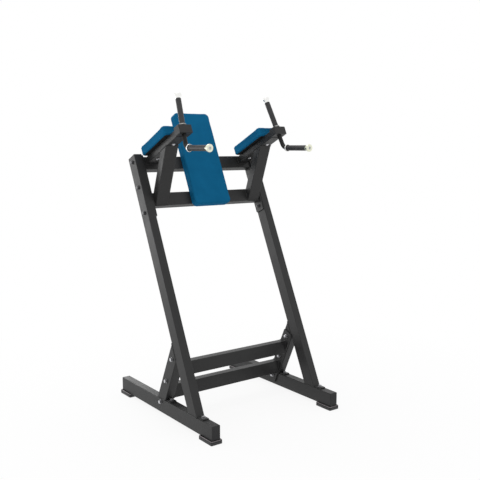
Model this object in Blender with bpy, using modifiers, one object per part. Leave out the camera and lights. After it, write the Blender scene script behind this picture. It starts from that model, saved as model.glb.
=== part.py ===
"""Dip and knee raise station: two leaning side frames, cross beams, arm rests and handles.

Metres, +Z up. The origin is on the floor at the middle of the footprint, +X runs from
the left side frame to the right one, and the user stands in front of the back pad, on -Y.
"""
import math

import bmesh
import bpy
from mathutils import Matrix, Vector

PART = "dip_knee_raise_station"
CUTTERS = "cutters"
SIDES = (("left", -1), ("right", 1))

# Clearances
GAP = 0.0003              # between two faces that touch
BOLT_CLEARANCE = 0.0005   # round a bolt shank, on the radius
OVERCUT = 0.010           # how far a cutter runs past what it cuts
FUSE = 0.002              # how far two shapes that become one run into each other
TRIM_BLOCK = 0.8          # side of the blocks that trim slanting tubes
TRIM_LENGTH = 0.1         # spare length of a tube before it is trimmed

# Side frames
FRAME_HALF_WIDTH = 0.437  # middle plane to the outer face of a side frame
FRAME_WIDTH = 0.050       # width of every tube in a side frame
TUBE_WALL = 0.003
TUBE_RADIUS = 0.0035

RAIL_LENGTH = 0.980
RAIL_HEIGHT = 0.080
FOOT_PAD_THICKNESS = 0.012
FOOT_PLATE_THICKNESS = 0.006
FOOT_LENGTH = 0.120
FOOT_WIDTH = 0.070
FOOT_OVERHANG = 0.010     # foot plate past the end of its rail
FOOT_CORNER = 0.006

UPRIGHT_DEPTH = 0.077
UPRIGHT_LENGTH = 1.509    # front face, from the rail to the top end
UPRIGHT_LEAN = math.radians(25)
UPRIGHT_SETBACK = 0.139   # rail's front end to the upright's front face

BRACE_DEPTH = 0.077
BRACE_LEAN = math.radians(25)
BRACE_SETBACK = 0.4645    # rail's front end to the brace's front face

# Plates welded in front of the feet of the uprights and braces, each for one bolt into the rail
FLANGE_LENGTH = 0.048
FLANGE_WIDTH = 0.040
FLANGE_THICKNESS = 0.006
FLANGE_SEAT = 0.012       # how far it runs into the foot of its tube

# Plastic end caps
CAP_RIM = 0.003
CAP_PLUG = 0.018
CAP_WALL = 0.003
CAP_EDGE = 0.0012

# Bolted side plates
PLATE_WIDTH = 0.070
PLATE_THICKNESS = 0.008
PLATE_CORNER = 0.006
PLATE_END = 0.0325        # last bolt to the end of the plate
BOLT_PITCH = 0.155        # on the upper plates
BRACE_BOLT_DROP = 0.0503  # upright's rear face to a lower plate's top bolt, down the brace's middle
RAIL_BOLT_DROP = 0.0400   # foot of the brace's front edge to a lower plate's lowest bolt, down the brace

# Bolts
BOLT_DIAMETER = 0.012
BOLT_HEAD_ACROSS_FLATS = 0.018
BOLT_HEAD_HEIGHT = 0.0075
NUT_HEIGHT = 0.010
WASHER_DIAMETER = 0.024
WASHER_THICKNESS = 0.0025

# Cross beams
BEAM_HEIGHT = 0.0785
BEAM_DEPTH = 0.050
TOP_BEAM_DROP = 0.0475    # uprights' top end to the top beam's middle
LOWER_BEAM_DROP = 0.2720  # uprights' top end to the second beam's middle
STEP_BEAMS = (("upper", 1, 0.0160), ("lower", 2, 0.0146))  # bolt under its end, and the gap to its washer

# Arm frames, along the front normal and the length of the uprights
ARM_INSET = 0.109         # side frame's outer face to the middle of an arm
ARM_BEAM_WIDTH = 0.070
ARM_BEAM_HEIGHT = 0.040
ARM_BEAM_DROP = 0.0565    # uprights' top end to the underside of the arm beam
ARM_REACH = 0.405         # uprights' front face to the front of the handle block
BLOCK_WIDTH = 0.082
BLOCK_DEPTH = 0.050
BLOCK_HEIGHT = 0.048
BLOCK_EDGE = 0.002
STRUT_WIDTH = 0.080
STRUT_THICKNESS = 0.050
STRUT_ANGLE = math.radians(45)
STRUT_DROP = 0.005        # middle cross beam's middle to the middle of the strut's foot

# Handles
HANDLE_DIAMETER = 0.025
HANDLE_WALL = 0.0025
HANDLE_BEND_RADIUS = 0.044
HANDLE_INWARD_LEAN = math.radians(5.7)
UPPER_GRIP_LENGTH = 0.155
LOWER_GRIP_LENGTH = 0.161
LOWER_GRIP_DROP = 0.0938  # handle block's middle down to the lower grip's axis
LOWER_GRIP_START = 0.009  # straight run behind the lower grip, from the bend's end
GRIP_DIAMETER = 0.0312
GRIP_EDGE = 0.002
COLLAR_DIAMETER = 0.042
COLLAR_THICKNESS = 0.008
COLLAR_EDGE = 0.0015
GRIP_CAP_DIAMETER = 0.042
GRIP_CAP_LENGTH = 0.029
GRIP_CAP_NECK = 0.029
GRIP_CAP_PLUG = 0.020
GRIP_CAP_RIM = 0.010
GRIP_CAP_EDGE = 0.002

# Cushions
ARM_PAD_LENGTH = 0.280
ARM_PAD_WIDTH = 0.130
ARM_PAD_THICKNESS = 0.052
ARM_PAD_START = 0.014     # uprights' front face to the rear end of an arm pad
ARM_PAD_CORNER = 0.015
BACK_PAD_LENGTH = 0.588
BACK_PAD_WIDTH = 0.250
BACK_PAD_THICKNESS = 0.047
BACK_PAD_CORNER = 0.028
BACK_PAD_DROP = 0.3305    # uprights' top end to the lower end of the back pad
PAD_EDGE = 0.009
PAD_CROWN = 0.003
PAD_WAIST = 0.002
PAD_HEM = 0.007           # cover wrapped round the edge of the board
BOARD_THICKNESS = 0.015

# Levels worked out from the sizes above
RAIL_BOTTOM = FOOT_PAD_THICKNESS + FOOT_PLATE_THICKNESS
RAIL_TOP = RAIL_BOTTOM + RAIL_HEIGHT
FRAME_MIDDLE = FRAME_HALF_WIDTH - FRAME_WIDTH / 2
PLATE_MIDDLE = FRAME_HALF_WIDTH - FRAME_WIDTH - GAP - PLATE_THICKNESS / 2
BEAM_HALF_LENGTH = PLATE_MIDDLE - PLATE_THICKNESS / 2 - GAP
RAIL_FRONT = -RAIL_LENGTH / 2
BRACE_BASE = BRACE_SETBACK - UPRIGHT_SETBACK - UPRIGHT_DEPTH / math.cos(UPRIGHT_LEAN) \
    + BRACE_DEPTH / 2 / math.cos(BRACE_LEAN)  # upright's rear face to the brace's middle, on the rail
BRACE_REACH = BRACE_BASE / (math.tan(UPRIGHT_LEAN) + math.tan(BRACE_LEAN)) / math.cos(BRACE_LEAN) \
    - BRACE_DEPTH / 2 * math.tan(BRACE_LEAN)  # up the brace's middle, from square with its front edge's foot
LOWER_BOLTS_TOP = BRACE_REACH - BRACE_BOLT_DROP
LOWER_BOLT_PITCH = (LOWER_BOLTS_TOP + RAIL_BOLT_DROP) / 2
UPPER_BOLTS_TOP = UPRIGHT_LENGTH - PLATE_END
BEAM_FRONT = (UPRIGHT_DEPTH - BEAM_DEPTH) / 2
ARM_MIDDLE = FRAME_HALF_WIDTH - ARM_INSET
ARM_BEAM_LEVEL = UPRIGHT_LENGTH - ARM_BEAM_DROP
ARM_BEAM_TOP = ARM_BEAM_LEVEL + ARM_BEAM_HEIGHT
BACK_PAD_LEVEL = UPRIGHT_LENGTH - BACK_PAD_DROP
BLOCK_MIDDLE = ARM_REACH - BLOCK_DEPTH / 2
BLOCK_LEVEL = ARM_BEAM_LEVEL + BLOCK_HEIGHT / 2
HANDLE_INNER = HANDLE_DIAMETER / 2 - HANDLE_WALL
HANDLE_INWARD = math.tan(HANDLE_INWARD_LEAN)
COLLAR_LIFT = COLLAR_DIAMETER / 2 * HANDLE_INWARD + GAP  # the tilted collar clears the block's top


def clear_scene():
    for item in list(bpy.data.objects):
        bpy.data.objects.remove(item, do_unlink=True)


def collection(name):
    group = bpy.data.collections.new(name)
    bpy.context.scene.collection.children.link(group)
    return group


def material(name, colour, roughness, metallic):
    item = bpy.data.materials.new(name)
    item.use_nodes = True
    shader = item.node_tree.nodes["Principled BSDF"]
    shader.inputs["Base Color"].default_value = (*colour, 1)
    shader.inputs["Roughness"].default_value = roughness
    shader.inputs["Metallic"].default_value = metallic
    return item


def add(name, mesh, finish, parent=None, place=Matrix()):
    """Links a mesh as one named sub-part."""
    item = bpy.data.objects.new(name, mesh)
    part_group.objects.link(item)
    item.parent = parent
    item.matrix_local = place
    if finish:
        item.data.materials.clear()
        item.data.materials.append(finish)
    return item


def cutter(name, mesh, parent=None, place=Matrix()):
    item = bpy.data.objects.new("cutter_" + name, mesh)
    cutter_group.objects.link(item)
    item.parent = parent
    item.matrix_local = place
    item.hide_render = True
    item.display_type = "WIRE"
    return item


def boolean(target, tool, operation="DIFFERENCE"):
    modifier = target.modifiers.new(operation.lower(), "BOOLEAN")
    modifier.operation = operation
    modifier.solver = "EXACT"
    modifier.object = tool


def frame_empty(name, location, rotation_x):
    """An empty whose +Z runs up a leaning tube and whose -Y points out of its front face."""
    empty = bpy.data.objects.new(name, None)
    part_group.objects.link(empty)
    empty.location = location
    empty.rotation_euler = (rotation_x, 0, 0)
    return empty


def to_mesh(bm, name):
    mesh = bpy.data.meshes.new(name)
    bm.to_mesh(mesh)
    bm.free()
    return mesh


def smooth(mesh, angle=30):
    mesh.shade_smooth()
    mesh.set_sharp_from_angle(angle=math.radians(angle))
    return mesh


def box(name, size, centre=(0, 0, 0), edge=0.0, corner=0.0, corner_axis=2, segments=3):
    """A box with its corners rounded along one axis and its other edges broken."""
    bm = bmesh.new()
    bmesh.ops.create_cube(bm, size=1, matrix=Matrix.Translation(centre) @ Matrix.Diagonal((*size, 1)))
    if corner:
        long_edges = [e for e in bm.edges if abs(edge_direction(e)[corner_axis]) > 0.9]
        bmesh.ops.bevel(bm, geom=long_edges, offset=corner, segments=segments, affect="EDGES", profile=0.5)
    if edge:
        rims = [e for e in bm.edges if e.calc_face_angle(0) > math.radians(60)]
        bmesh.ops.bevel(bm, geom=rims, offset=edge, segments=2, affect="EDGES", profile=0.5)
    return to_mesh(bm, name)


def edge_direction(e):
    return (e.verts[1].co - e.verts[0].co).normalized()


def cylinders(name, radius, runs, segments=16):
    """Round bars, each from one point to another."""
    bm = bmesh.new()
    for start, end in runs:
        start, end = Vector(start), Vector(end)
        turn = Vector((0, 0, 1)).rotation_difference(end - start).to_matrix().to_4x4()
        place = Matrix.Translation((start + end) / 2) @ turn
        bmesh.ops.create_cone(bm, cap_ends=True, segments=segments, radius1=radius, radius2=radius,
                              depth=(end - start).length, matrix=place)
    return smooth(to_mesh(bm, name))


def hex_prism(name, across_flats, start, end):
    """A hexagonal bar along X."""
    bm = bmesh.new()
    radius = across_flats / math.sqrt(3)
    place = Matrix.Translation(((start + end) / 2, 0, 0)) @ Matrix.Rotation(math.pi / 2, 4, "Y")
    bmesh.ops.create_cone(bm, cap_ends=True, segments=6, radius1=radius, radius2=radius,
                          depth=abs(end - start), matrix=place)
    return to_mesh(bm, name)


def turned(name, profile, finish, parent=None, place=Matrix(), segments=24):
    """Turns a closed outline of (radius, height) points about Z, outer side from top to bottom."""
    mesh = bpy.data.meshes.new(name)
    points = [(radius, 0, height) for radius, height in profile]
    count = len(points)
    mesh.from_pydata(points, [(i, (i + 1) % count) for i in range(count)], [])
    item = add(name, mesh, finish, parent, place)
    screw = item.modifiers.new("turn", "SCREW")
    screw.axis = "Z"
    screw.steps = segments
    screw.render_steps = segments
    screw.use_merge_vertices = True
    screw.merge_threshold = 0.00001
    screw.use_smooth_shade = True
    screw.use_normal_calculate = True
    return item


def tube(name, width, depth, length, finish, parent=None, place=Matrix(), wall=TUBE_WALL, radius=TUBE_RADIUS,
         start=0.0):
    """A rectangular tube that runs along its local Z, open at both ends."""
    outer = box(name, (width, depth, length), (0, 0, start + length / 2), corner=radius)
    core_length = length + 2 * OVERCUT
    core = box(name + "_core", (width - 2 * wall, depth - 2 * wall, core_length), (0, 0, start + length / 2),
               corner=max(radius - wall, 0.001), segments=2)
    item = add(name, outer, finish, parent, place)
    boolean(item, cutter(name + "_core", core, parent, place))
    return item


def cap(name, width, depth, finish, parent, place):
    """A plastic end cap: a rim over the tube's end and a hollow plug inside it. Local +Z points out."""
    bore_width = width - 2 * (TUBE_WALL + GAP)
    bore_depth = depth - 2 * (TUBE_WALL + GAP)
    bm = bmesh.new()
    bm.from_mesh(box(name + "_rim", (width - 2 * GAP, depth - 2 * GAP, CAP_RIM), (0, 0, GAP + CAP_RIM / 2),
                     corner=TUBE_RADIUS))
    top = [e for e in bm.edges if min(v.co.z for v in e.verts) > GAP + CAP_RIM - 1e-5]
    bmesh.ops.bevel(bm, geom=top, offset=CAP_EDGE, segments=2, affect="EDGES", profile=0.5)
    item = add(name, to_mesh(bm, name), finish, parent, place)
    plug = box(name + "_plug", (bore_width, bore_depth, CAP_PLUG), (0, 0, GAP + CAP_RIM / 2 - CAP_PLUG / 2),
               corner=TUBE_RADIUS - TUBE_WALL, segments=2)
    hollow = box(name + "_hollow", (bore_width - 2 * CAP_WALL, bore_depth - 2 * CAP_WALL, CAP_PLUG),
                 (0, 0, -CAP_PLUG / 2 - FUSE))
    boolean(item, cutter(name + "_plug", plug, parent, place), "UNION")
    boolean(item, cutter(name + "_hollow", hollow, parent, place))
    return item


def half_space(name, point, normal):
    """A block that fills the side of a plane that its normal points to."""
    turn = Vector((0, 0, 1)).rotation_difference(Vector(normal)).to_matrix().to_4x4()
    mesh = box(name, (TRIM_BLOCK, TRIM_BLOCK, TRIM_BLOCK), (0, 0, TRIM_BLOCK / 2))
    mesh.transform(Matrix.Translation(Vector(point)) @ turn)
    return mesh


def build_rail(side, sign):
    """A base rail with a foot plate welded under each end."""
    turn = Matrix.Rotation(math.pi / 2, 4, "X")
    place = Matrix.Translation((sign * FRAME_MIDDLE, RAIL_LENGTH / 2, RAIL_BOTTOM + RAIL_HEIGHT / 2)) @ turn
    rail = tube("base_rail_" + side, FRAME_WIDTH, RAIL_HEIGHT, RAIL_LENGTH, coat, place=place)
    for end, direction in (("front", -1), ("rear", 1)):
        middle = direction * (RAIL_LENGTH / 2 + FOOT_OVERHANG - FOOT_LENGTH / 2)
        level = FOOT_PAD_THICKNESS + FOOT_PLATE_THICKNESS / 2
        plate = box("plate", (FOOT_WIDTH, FOOT_LENGTH, FOOT_PLATE_THICKNESS),
                    (sign * FRAME_MIDDLE, middle, level + FOOT_CORNER / 100), corner=FOOT_CORNER)
        boolean(rail, cutter("foot_plate_%s_%s" % (end, side), plate), "UNION")
        pad_height = FOOT_PAD_THICKNESS - GAP
        pad = box("foot_pad_%s_%s" % (end, side), (FOOT_WIDTH, FOOT_LENGTH, pad_height),
                  (sign * FRAME_MIDDLE, middle, pad_height / 2), corner=FOOT_CORNER)
        add("foot_pad_%s_%s" % (end, side), pad, rubber)
        flat = Matrix.Rotation(direction * -math.pi / 2, 4, "X")
        end_place = Matrix.Translation((sign * FRAME_MIDDLE, direction * RAIL_LENGTH / 2,
                                        RAIL_BOTTOM + RAIL_HEIGHT / 2)) @ flat
        cap("rail_end_cap_%s_%s" % (end, side), FRAME_WIDTH, RAIL_HEIGHT, plastic, None, end_place)
    return rail


def add_flange(item, name, sign, setback):
    """Welds a flat plate to the front of a tube's foot. What sinks below the rail's top is cut off later."""
    length, sunk = FLANGE_LENGTH + FLANGE_SEAT, OVERCUT / 2
    centre = (sign * FRAME_MIDDLE, RAIL_FRONT + setback + FLANGE_SEAT - length / 2,
              RAIL_TOP + (GAP + FLANGE_THICKNESS - sunk) / 2)
    plate = box(name, (FLANGE_WIDTH, length, FLANGE_THICKNESS + GAP + sunk), centre)
    boolean(item, cutter(name, plate), "UNION")


def build_upright(side, sign):
    """A leaning upright, cut level where it stands on the rail."""
    below = UPRIGHT_DEPTH * math.tan(UPRIGHT_LEAN) + OVERCUT
    place = Matrix.Translation((sign * FRAME_MIDDLE, UPRIGHT_DEPTH / 2, 0))
    item = tube("upright_" + side, FRAME_WIDTH, UPRIGHT_DEPTH, UPRIGHT_LENGTH + below, coat,
                upright_frame, place, start=-below)
    add_flange(item, "upright_flange_" + side, sign, UPRIGHT_SETBACK)
    seat = (sign * FRAME_MIDDLE, RAIL_FRONT + UPRIGHT_SETBACK, RAIL_TOP + GAP)
    boolean(item, cutter("upright_foot_" + side, half_space("foot", seat, (0, 0, -1))))
    top = Matrix.Translation((sign * FRAME_MIDDLE, UPRIGHT_DEPTH / 2, UPRIGHT_LENGTH))
    cap("upright_end_cap_" + side, FRAME_WIDTH, UPRIGHT_DEPTH, plastic, upright_frame, top)
    return item


def build_brace(side, sign):
    """A rear brace, cut level on the rail and along the rear face of the upright."""
    length = BRACE_REACH + 2 * TRIM_LENGTH
    place = Matrix.Translation((sign * FRAME_MIDDLE, BRACE_DEPTH / 2, 0))
    item = tube("rear_brace_" + side, FRAME_WIDTH, BRACE_DEPTH, length, coat, brace_frame, place,
                start=-TRIM_LENGTH)
    add_flange(item, "brace_flange_" + side, sign, BRACE_SETBACK)
    seat = (sign * FRAME_MIDDLE, RAIL_FRONT + BRACE_SETBACK, RAIL_TOP + GAP)
    boolean(item, cutter("brace_foot_" + side, half_space("foot", seat, (0, 0, -1))))
    face = half_space("face", (sign * FRAME_MIDDLE, UPRIGHT_DEPTH + GAP, BRACE_REACH), (0, -1, 0))
    boolean(item, cutter("brace_head_" + side, face, upright_frame))
    return item


def bolt_mesh():
    """A bolt with its washers and nut. Local +X points out of the frame, from the tube's outer face."""
    grip = FRAME_WIDTH + GAP + PLATE_THICKNESS
    washer_top = GAP + WASHER_THICKNESS
    head_top = washer_top + BOLT_HEAD_HEIGHT
    inner = -grip - GAP
    nut_end = inner - WASHER_THICKNESS - NUT_HEIGHT
    shank = cylinders("shank", BOLT_DIAMETER / 2, [((head_top - FUSE, 0, 0), (nut_end + FUSE, 0, 0))])
    pieces = (
        cylinders("washer", WASHER_DIAMETER / 2, [((GAP, 0, 0), (washer_top, 0, 0))]),
        hex_prism("head", BOLT_HEAD_ACROSS_FLATS, washer_top - FUSE / 4, head_top),
        cylinders("inner_washer", WASHER_DIAMETER / 2, [((inner, 0, 0), (inner - WASHER_THICKNESS, 0, 0))]),
        hex_prism("nut", BOLT_HEAD_ACROSS_FLATS, inner - WASHER_THICKNESS + FUSE / 4, nut_end),
    )
    item = bpy.data.objects.new("bolt_draft", shank)
    cutter_group.objects.link(item)
    for index, mesh in enumerate(pieces):
        boolean(item, cutter("bolt_%d" % index, mesh), "UNION")
    bpy.context.view_layer.update()
    graph = bpy.context.evaluated_depsgraph_get()
    mesh = bpy.data.meshes.new_from_object(item.evaluated_get(graph))
    bpy.data.objects.remove(item, do_unlink=True)
    return mesh


def build_plate(level, side, sign, parent, top, pitch, depth):
    """A side plate with three bolts, in line with its tube. Gives the cutter that drills their holes."""
    name = "side_plate_%s_%s" % (level, side)
    middle = (sign * PLATE_MIDDLE, depth / 2, top - pitch)
    size = (PLATE_THICKNESS, PLATE_WIDTH, 2 * (pitch + PLATE_END))
    mesh = box(name, size, middle, corner=PLATE_CORNER, corner_axis=0)
    plate = add(name, mesh, coat, parent)
    turn = Matrix.Identity(4) if sign > 0 else Matrix.Rotation(math.pi, 4, "Z")
    runs = []
    for index in range(3):
        height = top - index * pitch
        centre = (sign * FRAME_HALF_WIDTH, depth / 2, height)
        place = Matrix.Translation(centre) @ turn
        add("side_bolt_%s_%s_%d" % (level, side, index + 1), bolt, zinc, parent, place)
        start = (sign * (FRAME_HALF_WIDTH + OVERCUT), depth / 2, height)
        end = (sign * (PLATE_MIDDLE - PLATE_THICKNESS), depth / 2, height)
        runs.append((start, end))
    holes = cylinders("holes", BOLT_DIAMETER / 2 + BOLT_CLEARANCE, runs)
    drill = cutter("holes_%s_%s" % (level, side), holes, parent)
    boolean(plate, drill)
    return drill


def build_cross_beams():
    """Two beams square with the uprights, and two level ones, in line with the braces, to step on."""
    turn = Matrix.Rotation(math.pi / 2, 4, "Y")
    for name, drop in (("upper_cross_beam", TOP_BEAM_DROP), ("middle_cross_beam", LOWER_BEAM_DROP)):
        place = Matrix.Translation((-BEAM_HALF_LENGTH, UPRIGHT_DEPTH / 2, UPRIGHT_LENGTH - drop)) @ turn
        tube(name, BEAM_HEIGHT, BEAM_DEPTH, 2 * BEAM_HALF_LENGTH, coat, upright_frame, place)
    for name, index, clearance in STEP_BEAMS:
        rise = WASHER_DIAMETER / 2 + clearance + BEAM_HEIGHT / 2
        level = LOWER_BOLTS_TOP - index * LOWER_BOLT_PITCH + rise / math.cos(BRACE_LEAN)
        middle = brace_frame.matrix_world @ Vector((0, BRACE_DEPTH / 2, level))
        place = Matrix.Translation((-BEAM_HALF_LENGTH, middle.y, middle.z)) @ turn
        tube("step_beam_" + name, BEAM_HEIGHT, BEAM_DEPTH, 2 * BEAM_HALF_LENGTH, coat, None, place)


def handle_route(sign):
    """The handle's middle line: top end, the corner of its bend, and front end, in world coordinates."""
    lean = upright_frame.matrix_world
    top_level = ARM_BEAM_LEVEL + BLOCK_HEIGHT + COLLAR_LIFT + COLLAR_THICKNESS + GAP + UPPER_GRIP_LENGTH

    def on_axis(level):
        across = ARM_MIDDLE - HANDLE_INWARD * (level - BLOCK_LEVEL)
        return lean @ Vector((sign * across, -BLOCK_MIDDLE, level))

    top, middle = on_axis(top_level), on_axis(BLOCK_LEVEL)
    corner = top + (middle - top) * (1 + LOWER_GRIP_DROP / (top.z - middle.z))
    cut_back = HANDLE_BEND_RADIUS * math.tan((math.pi / 2 - UPRIGHT_LEAN) / 2)
    front = corner - Vector((0, cut_back + LOWER_GRIP_START + LOWER_GRIP_LENGTH, 0))
    return top, corner, front


def rounded_route(start, corner, end, radius, steps=9):
    """Two straight runs joined by an arc."""
    before, after = (start - corner).normalized(), (end - corner).normalized()
    half = before.angle(after) / 2
    cut_back = radius / math.tan(half)
    middle = corner + (before + after).normalized() * (radius / math.sin(half))
    first = (corner + before * cut_back - middle).normalized()
    last = (corner + after * cut_back - middle).normalized()
    points = [start]
    for index in range(steps + 1):
        points.append(middle + first.slerp(last, index / steps) * radius)
    return points + [end]


def bar_mesh(name, points, radius):
    """A round bar along a route, as a closed mesh."""
    curve = bpy.data.curves.new(name, "CURVE")
    curve.dimensions = "3D"
    curve.bevel_depth = radius
    curve.bevel_resolution = 6
    curve.use_fill_caps = True
    spline = curve.splines.new("POLY")
    spline.points.add(len(points) - 1)
    for point, place in zip(spline.points, points):
        point.co = (*place, 1)
    item = bpy.data.objects.new(name, curve)
    cutter_group.objects.link(item)
    bpy.context.view_layer.update()
    mesh = bpy.data.meshes.new_from_object(item.evaluated_get(bpy.context.evaluated_depsgraph_get()))
    bpy.data.objects.remove(item, do_unlink=True)
    bm = bmesh.new()
    bm.from_mesh(mesh)
    bmesh.ops.remove_doubles(bm, verts=bm.verts, dist=0.00001)
    bmesh.ops.recalc_face_normals(bm, faces=bm.faces)
    bm.to_mesh(mesh)
    bm.free()
    return smooth(mesh)


def along(point, direction):
    """A placement at a point whose local +Z runs along a direction."""
    turn = Vector((0, 0, 1)).rotation_difference(direction).to_matrix().to_4x4()
    return Matrix.Translation(point) @ turn


def ring_profile(inner, outer, length, edge):
    """Outline of a sleeve from its base at zero height, with broken outer edges."""
    return [(inner, length), (outer - edge, length), (outer, length - edge), (outer, edge), (outer - edge, 0),
            (inner, 0)]


def grip_cap_profile():
    """Outline of a turned aluminium cap: plug, neck, flare and a thick rim with a flat face."""
    outer, neck, plug = GRIP_CAP_DIAMETER / 2, GRIP_CAP_NECK / 2, HANDLE_INNER - GAP
    flare_end = GRIP_CAP_LENGTH - GRIP_CAP_RIM
    return [(0, GRIP_CAP_LENGTH), (outer - GRIP_CAP_EDGE, GRIP_CAP_LENGTH),
            (outer - GRIP_CAP_EDGE / 3, GRIP_CAP_LENGTH - GRIP_CAP_EDGE / 3),
            (outer, GRIP_CAP_LENGTH - GRIP_CAP_EDGE), (outer, flare_end + GRIP_CAP_EDGE / 2),
            (outer - GRIP_CAP_EDGE / 2, flare_end), (neck + (outer - neck) * 0.45, flare_end * 0.66),
            (neck, flare_end * 0.3), (neck, GAP), (plug, GAP), (plug, -GRIP_CAP_PLUG), (0, -GRIP_CAP_PLUG)]


def build_handle(side, sign):
    """The bent handle bar with its grips, collars and end caps."""
    top, corner, front = handle_route(sign)
    down = (corner - top).normalized()
    points = rounded_route(top, corner, front, HANDLE_BEND_RADIUS)
    bar = add("handle_bar_" + side, bar_mesh("handle_bar_" + side, points, HANDLE_DIAMETER / 2), coat)
    inner_points = [top - down * OVERCUT, *points[1:-1], front - Vector((0, OVERCUT, 0))]
    boolean(bar, cutter("handle_bore_" + side, bar_mesh("bore", inner_points, HANDLE_INNER)))
    bore = HANDLE_DIAMETER / 2 + GAP
    starts = (("upper", top + down * UPPER_GRIP_LENGTH, -down, UPPER_GRIP_LENGTH),
              ("lower", front + Vector((0, LOWER_GRIP_LENGTH, 0)), Vector((0, -1, 0)), LOWER_GRIP_LENGTH))
    for level, base, direction, length in starts:
        turned("handle_grip_%s_%s" % (level, side), ring_profile(bore, GRIP_DIAMETER / 2, length, GRIP_EDGE),
               rubber, place=along(base, direction))
        collar = base - direction * (COLLAR_THICKNESS + GAP)
        turned("grip_collar_%s_%s" % (level, side),
               ring_profile(bore, COLLAR_DIAMETER / 2, COLLAR_THICKNESS, COLLAR_EDGE),
               aluminium, place=along(collar, direction))
        turned("grip_cap_%s_%s" % (level, side), grip_cap_profile(), aluminium,
               place=along(base + direction * length, direction))
    return top, down


def build_arm(side, sign):
    """An arm beam with its handle block, and the strut under it."""
    length = ARM_REACH - BLOCK_DEPTH + BEAM_FRONT - GAP
    turn = Matrix.Rotation(math.pi / 2, 4, "X")
    rear = BEAM_FRONT - GAP
    place = Matrix.Translation((sign * ARM_MIDDLE, rear, ARM_BEAM_LEVEL + ARM_BEAM_HEIGHT / 2)) @ turn
    beam = tube("arm_beam_" + side, ARM_BEAM_WIDTH, ARM_BEAM_HEIGHT, length + FUSE, coat,
                upright_frame, place)
    block = box("block", (BLOCK_WIDTH, BLOCK_DEPTH, BLOCK_HEIGHT),
                (sign * ARM_MIDDLE, -BLOCK_MIDDLE, ARM_BEAM_LEVEL + BLOCK_HEIGHT / 2), edge=BLOCK_EDGE)
    boolean(beam, cutter("handle_block_" + side, block, upright_frame), "UNION")
    top, corner, _ = handle_route(sign)
    bore = cylinders("bore", HANDLE_DIAMETER / 2 + GAP, [(top, corner)], 32)
    boolean(beam, cutter("handle_hole_" + side, bore))
    foot_level = UPRIGHT_LENGTH - LOWER_BEAM_DROP - STRUT_DROP
    strut_place = Matrix.Translation((sign * ARM_MIDDLE, BEAM_FRONT, foot_level)) @ \
        Matrix.Rotation(STRUT_ANGLE, 4, "X")
    strut_length = (ARM_BEAM_LEVEL - foot_level) / math.cos(STRUT_ANGLE) + 2 * TRIM_LENGTH
    strut = tube("arm_strut_" + side, STRUT_WIDTH, STRUT_THICKNESS, strut_length, coat, upright_frame,
                 strut_place, start=-TRIM_LENGTH)
    face = half_space("face", (sign * ARM_MIDDLE, BEAM_FRONT - GAP, foot_level), (0, 1, 0))
    boolean(strut, cutter("strut_foot_" + side, face, upright_frame))
    under = half_space("under", (sign * ARM_MIDDLE, -ARM_REACH / 2, ARM_BEAM_LEVEL - GAP), (0, 0, 1))
    boolean(strut, cutter("strut_head_" + side, under, upright_frame))


def cushion_mesh(name, width, length, thickness, corner):
    """A padded block on z = 0: rounded in plan, rolled top edge, crowned top and drawn-in sides."""
    bm = bmesh.new()
    bmesh.ops.create_cube(bm, size=1, matrix=Matrix.Translation((0, 0, thickness / 2))
                          @ Matrix.Diagonal((width, length, thickness, 1)))
    corners = [e for e in bm.edges if abs(edge_direction(e).z) > 0.9]
    bmesh.ops.bevel(bm, geom=corners, offset=corner, segments=5, affect="EDGES", profile=0.5)
    rim = [e for e in bm.edges if min(v.co.z for v in e.verts) > thickness - 1e-5]
    bmesh.ops.bevel(bm, geom=rim, offset=PAD_EDGE, segments=4, affect="EDGES", profile=0.5)
    for axis, span, cuts in ((0, width, 5), (1, length, 9)):
        for index in range(cuts):
            place, normal = Vector((0, 0, 0)), Vector((0, 0, 0))
            place[axis] = span * ((index + 1) / (cuts + 1) - 0.5)
            normal[axis] = 1
            geom = bm.verts[:] + bm.edges[:] + bm.faces[:]
            bmesh.ops.bisect_plane(bm, geom=geom, plane_co=place, plane_no=normal, dist=1e-6)
    geom = bm.verts[:] + bm.edges[:] + bm.faces[:]
    bmesh.ops.bisect_plane(bm, geom=geom, plane_co=(0, 0, thickness * 0.42), plane_no=(0, 0, 1), dist=1e-6)
    for vertex in bm.verts:
        across, down = 2 * vertex.co.x / width, 2 * vertex.co.y / length
        bulge = (1 - across ** 2) * (1 - down ** 2)
        if vertex.co.z > thickness - 1e-5:
            vertex.co.z += PAD_CROWN * (bulge - 1)
        elif abs(vertex.co.z - thickness * 0.42) < 1e-4:
            vertex.co.x *= 1 - 2 * PAD_WAIST / width
            vertex.co.y *= 1 - 2 * PAD_WAIST / length
    bmesh.ops.recalc_face_normals(bm, faces=bm.faces)
    return smooth(to_mesh(bm, name), 50)


def build_pad(name, width, length, thickness, corner, place):
    """A cushion over its board. Local +Z points out of the cushion, and z = 0 is its seat."""
    board_width, board_length = width - 2 * PAD_HEM, length - 2 * PAD_HEM
    board = box(name + "_board", (board_width, board_length, BOARD_THICKNESS), (0, 0, BOARD_THICKNESS / 2),
                corner=corner - PAD_HEM, segments=5)
    add(name + "_board", board, backing, upright_frame, place)
    padding = cushion_mesh(name, width, length, thickness, corner)
    cushion = add(name + "_cushion", padding, vinyl, upright_frame, place)
    pocket_size = (board_width + 2 * GAP, board_length + 2 * GAP, BOARD_THICKNESS + GAP + OVERCUT)
    pocket = box(name + "_pocket", pocket_size, (0, 0, (BOARD_THICKNESS + GAP - OVERCUT) / 2),
                 corner=corner - PAD_HEM + GAP, segments=5)
    boolean(cushion, cutter(name + "_pocket", pocket, upright_frame, place))


clear_scene()
part_group = collection(PART)
cutter_group = collection(CUTTERS)

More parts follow.
